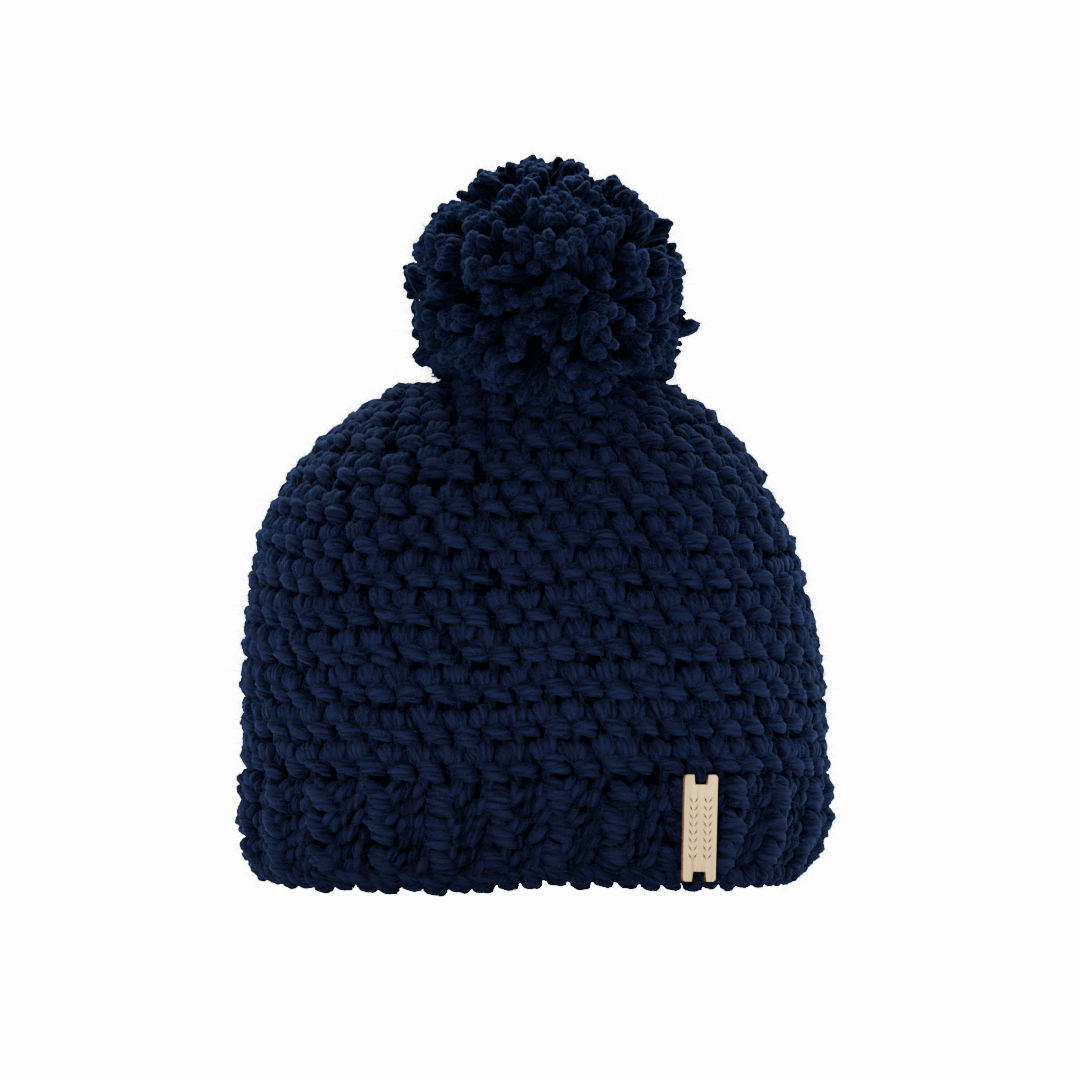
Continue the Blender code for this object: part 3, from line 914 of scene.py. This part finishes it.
def build_tag_yarn(wool):
    """The yarn sewn over each end of the tag, through its notch and into the fabric."""
    for name, side, outer_leg in (("upper", 1, -TAG_STANDOFF), ("lower", -1, 0.0015)):
        middle = TAG_LENGTH / 2 - NOTCH_DEPTH + 0.0039
        line = [(side * (middle + TAG_YARN_BEND), outer_leg)]
        for angle in np.linspace(0.0, math.pi, 13):
            up = side * (middle + TAG_YARN_BEND * math.cos(angle))
            line.append((up, -TAG_STANDOFF - TAG_YARN_BEND * math.sin(angle)))
        line.append((side * (middle - TAG_YARN_BEND), 0.0010))
        points = [tuple(tag_frame() @ Vector((0.0, into, up))) for up, into in line]
        yarn = Yarn()
        plied_cord(yarn, points, TAG_YARN_RADIUS, pitch=0.008)
        ride(yarn.build(f"tag_stitch_{name}_yarn", wool), "hat", "navy_wool", f"tag_stitch_{name}")


# ---------------------------------------------------------------- pom pom

def ball_directions(count):
    """Directions spread evenly over a ball."""
    number = np.arange(count) + 0.5
    height = 1 - 2 * number / count
    angle = math.pi * (1 + math.sqrt(5)) * number
    flat = np.sqrt(1 - height**2)
    return np.stack([flat * np.cos(angle), flat * np.sin(angle), height], axis=-1)


def pom_reach(direction):
    """How far the pile reaches: a ragged ball, pressed up by the crown, with a front fringe."""
    x, y, z = direction[..., 0], direction[..., 1], direction[..., 2]
    ragged = 1.0 + 0.022 * np.sin(7 * x + 3 * z) + 0.018 * np.sin(9 * y - 5 * z + 1.0)
    below = np.clip((-z - 0.52) / 0.48, 0.0, 1.0)
    fringe = np.exp(-((y + 0.74) ** 2 + (z + 0.66) ** 2 + 0.3 * x**2) / 0.10)
    flank = np.exp(-((z + 0.52) / 0.24) ** 2)
    top_right = 0.045 * np.clip(z, 0.0, 1.0) * np.clip(x, 0.0, 1.0)
    bulges = 0.28 * fringe + (0.10 + 0.04 * x) * flank + top_right
    return POM_RADIUS * ragged * (1.0 - 0.40 * below + bulges)


def crown_height(x, y):
    """How high the crown's outside is over (x, y)."""
    oval = (np.abs(x) / HALF_WIDTH) ** OVAL_POWER + (np.abs(y) / HALF_DEPTH) ** OVAL_POWER
    share = np.clip(oval ** (1 / OVAL_POWER), RIM_SHARE, 0.999)
    return WALL_TOP + DOME_HEIGHT * (1.0 - share**DOME_POWER) ** (1 / DOME_POWER)


def above_crown(points):
    """Lifts points clear of the crown, with room for the joint that they don't squash with."""
    x, y = points[..., 0], points[..., 1]
    nearer = np.minimum(np.abs(x), np.abs(y))
    clearance = 0.0016 * np.clip(nearer / 0.012, 0.0, 1.0) - 0.0004
    lowest = crown_height(x, y) + TUFT_PLY_RADIUS + clearance + JOINT_SLOPE * nearer
    points[..., 2] = np.maximum(points[..., 2], lowest)
    return points


def tuft_strands(directions):
    """Cut yarn ends: each tuft is a few plies that curl and flare towards their ends.

    Returns centres, outward hints, radii and painted shade, with random variation."""
    count = len(directions)
    t = 1.0 - (1.0 - np.linspace(0.0, 1.0, TUFT_STEPS)) ** 1.8
    aim = unit(directions + RANDOM.normal(0, 0.10, (count, 3)))
    stray = np.where(RANDOM.uniform(0, 1, count) < 0.05, RANDOM.uniform(0.02, 0.045, count), 0.0)
    reach = pom_reach(aim) * (RANDOM.normal(1.0, 0.028, count) + stray) - TUFT_PLY_RADIUS
    side = unit(np.cross(aim, RANDOM.normal(0, 1, (count, 3))))
    other = np.cross(aim, side)
    curl = RANDOM.normal(0, 0.0050, (count, 2))
    centres, radii = [], []
    for ply in range(TUFT_PLIES):
        angle = 2 * np.pi * ply / TUFT_PLIES + RANDOM.uniform(0, 1.2, count)
        spiral = angle[:, None] + t * RANDOM.normal(3.0, 1.2, (count, 1))
        flare = TUFT_SPREAD * (0.55 + 0.6 * t**1.5) * RANDOM.uniform(0.75, 1.25, (count, 1))
        run = reach[:, None] * (1 - TUFT_VISIBLE_SHARE + TUFT_VISIBLE_SHARE * t)
        run = run * RANDOM.normal(1, 0.016, (count, 1))
        wobble = 0.0010 * np.sin(9 * t + RANDOM.uniform(0, 6.28, (count, 1)))
        across = flare * np.cos(spiral) + curl[:, :1] * t**2 + wobble
        beyond = flare * np.sin(spiral) + curl[:, 1:] * t**2 - wobble
        sideways = side[:, None, :] * across[..., None]
        centre = POM_CENTRE + aim[:, None, :] * run[..., None] + sideways
        centres.append(above_crown(centre + other[:, None, :] * beyond[..., None]))
        knobbly = 1.0 + 0.12 * np.sin(13 * t + RANDOM.uniform(0, 6.28, (count, 1)))
        rounded = np.sqrt(np.clip(1.0 - np.clip((t - 0.89) / 0.111, 0, 1) ** 2, 0.02, 1))
        radii.append(TUFT_PLY_RADIUS * (0.72 + 0.36 * t) * knobbly * rounded
                     * RANDOM.normal(1.0, 0.10, (count, 1)))
    hint = np.concatenate([np.broadcast_to(side[:, None, :], (count, TUFT_STEPS, 3))] * TUFT_PLIES)
    strands = count * TUFT_PLIES
    # Painted shade: each tuft darker deep in the pile and lighter towards its cut end, with random
    # variation of its own.
    tone = np.tile(0.26 * t**2 - 0.19, (strands, 1)) + RANDOM.normal(0, 0.02, (strands, 1))
    return np.concatenate(centres), hint, np.concatenate(radii), tone


def pom_heart(material):
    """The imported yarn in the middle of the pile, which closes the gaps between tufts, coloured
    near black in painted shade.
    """
    bpy.ops.mesh.primitive_ico_sphere_add(subdivisions=5, radius=1.0)
    heart = bpy.context.object
    heart.name = "pom_heart"
    count = len(heart.data.vertices)
    points = np.empty(count * 3)
    heart.data.vertices.foreach_get("co", points)
    points = unit(points.reshape(count, 3))
    x, y, z = points.T
    lumpy = 0.74 + 0.05 * np.sin(17 * x) * np.sin(19 * y + 1) * np.sin(15 * z)
    placed = POM_CENTRE + points * (pom_reach(points) * lumpy)[:, None]
    x, y, z = placed.T
    lowest = crown_height(x, y) + 0.0045 + JOINT_SLOPE * (np.abs(x) + np.abs(y))
    placed[:, 2] = np.maximum(z, lowest)
    heart.data.vertices.foreach_set("co", placed.ravel())
    heart.data.shade_smooth()
    heart.data.materials.append(material)
    return heart


def pom_slices(directions):
    """Splits the tufts by height. The lowest go in two sets, each paired with the name of one
    joint.
    """
    x, y, z = directions.T
    low = z < -0.25
    return {
        "low_ends": (low & (np.abs(x) > np.abs(y)), "pom_pom_sway"),
        "low_faces": (low & (np.abs(x) <= np.abs(y)), "pom_pom_nod"),
        "middle": (~low & (z < 0.10), None),
        "upper": ((z >= 0.10) & (z < 0.50), None),
        "top": (z >= 0.50, None),
    }


def tuft_directions():
    """Tufts all round the ball, thicker underneath and thickest on the lines over the joints."""
    directions = ball_directions(TUFT_COUNT)
    directions = directions[directions[:, 2] > -0.95]
    x, y, z = np.abs(directions[:, 0]), np.abs(directions[:, 1]), directions[:, 2]
    beneath = directions[z < -0.55]
    neck = directions[(z < -0.60) & (np.minimum(x, y) < 0.20)]
    return np.concatenate([directions, beneath, neck, neck, neck])


def build_pom(wool, fuzz_painted_sheen, shade):
    """The pile in slices, its heart in painted shade, and the fuzz on its cut ends.

    The lowest tufts rest on the crown, and the two sets beside the joints get meshes of their own."""
    directions = tuft_directions()
    for name, (chosen, joint) in pom_slices(directions).items():
        yarn = Yarn()
        centre, hint, radii, tone = tuft_strands(directions[chosen])
        yarn.add(centre, hint, radii, sides=12, tone=tone, lobes=0.06, rough=0.17,
                 twist=TUFT_TWIST)
        tufts = ride(yarn.build(f"pom_tufts_{name}", wool), "pom_pom", "pom_wool")
        roots, along, outward = yarn.fuzz_roots()
        outer = np.linalg.norm(roots - POM_CENTRE, axis=1) > POM_RADIUS * 0.80
        away = unit(roots[outer] - POM_CENTRE)
        count = POM_FUZZ_PER_TUFT * chosen.sum()
        fuzz = fuzz_object(f"pom_fuzz_{name}", roots[outer], along[outer], away, count,
                           POM_FUZZ_THICKNESS, 0.7, fuzz_painted_sheen)
        ride(fuzz, "pom_pom", "pom_wool")
        if joint:
            for piece in (tufts, fuzz):
                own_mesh(piece)
    heart = pom_heart(shade)
    ride(heart, "pom_pom", "pom_wool", "pom_pile")


# ---------------------------------------------------------------- stage

def aim_at(obj, target):
    """Turns a lamp or camera to look at a point."""
    direction = Vector(target) - obj.location
    obj.rotation_euler = direction.to_track_quat("-Z", "Y").to_euler()


def area_light(name, place, target, size, power):
    """A soft rectangular light."""
    light = bpy.data.lights.new(name, "AREA")
    light.shape = "RECTANGLE"
    light.size, light.size_y = size
    light.energy = power
    light.color = COOL
    obj = bpy.data.objects.new(name, light)
    bpy.context.scene.collection.objects.link(obj)
    obj.location = place
    aim_at(obj, target)


def seen_as(tree, lit, seen, output):
    """Uses one shader for light and another for what the camera sees."""
    path = add_node(tree, "ShaderNodeLightPath")
    mix = add_node(tree, "ShaderNodeMixShader")
    tree.links.new(path.outputs["Is Camera Ray"], mix.inputs[0])
    tree.links.new(lit.outputs[0], mix.inputs[1])
    tree.links.new(seen.outputs[0], mix.inputs[2])
    tree.links.new(mix.outputs[0], tree.nodes[output].inputs["Surface"])


def build_floor():
    """A pale floor that shows white, and lights the cap only as much as pale card would."""
    bpy.ops.mesh.primitive_plane_add(size=6.0, location=(0.0, 0.0, FLOOR_HEIGHT))
    floor = bpy.context.object
    floor.name = "floor"
    material, tree, shader = new_material("pale_floor")
    shader.inputs["Base Color"].default_value = (*WHITE_FLOOR, 1.0)
    shader.inputs["Roughness"].default_value = 0.9
    glow = add_node(tree, "ShaderNodeEmission", Strength=WORLD_SEEN)
    seen_as(tree, shader, glow, "Material Output")
    floor.data.materials.append(material)


def build_world():
    """A dim even light all round, which shows white."""
    world = bpy.context.scene.world or bpy.data.worlds.new("studio")
    bpy.context.scene.world = world
    world.use_nodes = True
    tree = world.node_tree
    light = tree.nodes["Background"]
    light.inputs["Strength"].default_value = WORLD_LIGHT
    seen = add_node(tree, "ShaderNodeBackground", Strength=WORLD_SEEN)
    for background in (light, seen):
        background.inputs["Color"].default_value = (1.0, 1.0, 1.0, 1.0)
    seen_as(tree, light, seen, "World Output")


def build_lights():
    """A soft light overhead, one at each end, and a round soft one in front."""
    area_light("top_soft", (-0.05, 0.55, 1.40), (0, 0, 0.20), (1.1, 0.8), 112.0)
    area_light("rim_right", (1.3, 0.50, 0.35), (0, 0, 0.13), (0.7, 1.2), 50.0)
    area_light("rim_left", (-1.3, 0.60, 0.35), (0, 0, 0.13), (0.7, 1.2), 20.0)

    front = bpy.data.lights.new("front_soft", "SPOT")
    front.energy = 98.0
    front.shadow_soft_size = 0.25
    front.spot_size = math.radians(24)
    front.spot_blend = 1.0
    lamp = bpy.data.objects.new("front_soft", front)
    bpy.context.scene.collection.objects.link(lamp)
    lamp.location = (-0.30, -1.12, 0.40)
    aim_at(lamp, (0.01, -0.07, 0.035))


def build_camera():
    """A long lens, level with the middle of the picture."""
    data = bpy.data.cameras.new("camera")
    data.sensor_width = 36.0
    data.lens = 36.0 * CAMERA_DISTANCE / CAMERA_FIELD
    camera = bpy.data.objects.new("camera", data)
    bpy.context.scene.collection.objects.link(camera)
    camera.location = (CAMERA_X, -CAMERA_DISTANCE, CAMERA_HEIGHT)
    aim_at(camera, (CAMERA_X, 0.0, CAMERA_HEIGHT))
    bpy.context.scene.camera = camera


def build():
    """The whole scene."""
    wool = wool_material("navy_wool", *CAP_WOOL)
    pom_wool = wool_material("pom_wool", *POM_WOOL)
    fuzz_painted_sheen = wool_material("wool_fuzz_painted_sheen", *FUZZ_WOOL_PAINTED_SHEEN)
    shade = painted_shade_material()
    grown = build_cap(wool, shade)
    gathered = [yarn.fuzz_roots() for yarn in grown]
    roots, along, outward = (np.concatenate(parts) for parts in zip(*gathered))
    for number in range(4):
        fuzz = fuzz_object(f"cap_fuzz_{number + 1}", roots, along, outward, CAP_FUZZ_COUNT,
                           CAP_FUZZ_THICKNESS, 0.55, fuzz_painted_sheen)
        ride(fuzz, "hat", "navy_wool")
    build_cords(wool)
    build_tag(maple_material(), scorched_material())
    build_tag_yarn(wool)
    build_pom(pom_wool, fuzz_painted_sheen, shade)
    build_floor()
    build_world()
    build_lights()
    build_camera()


build()
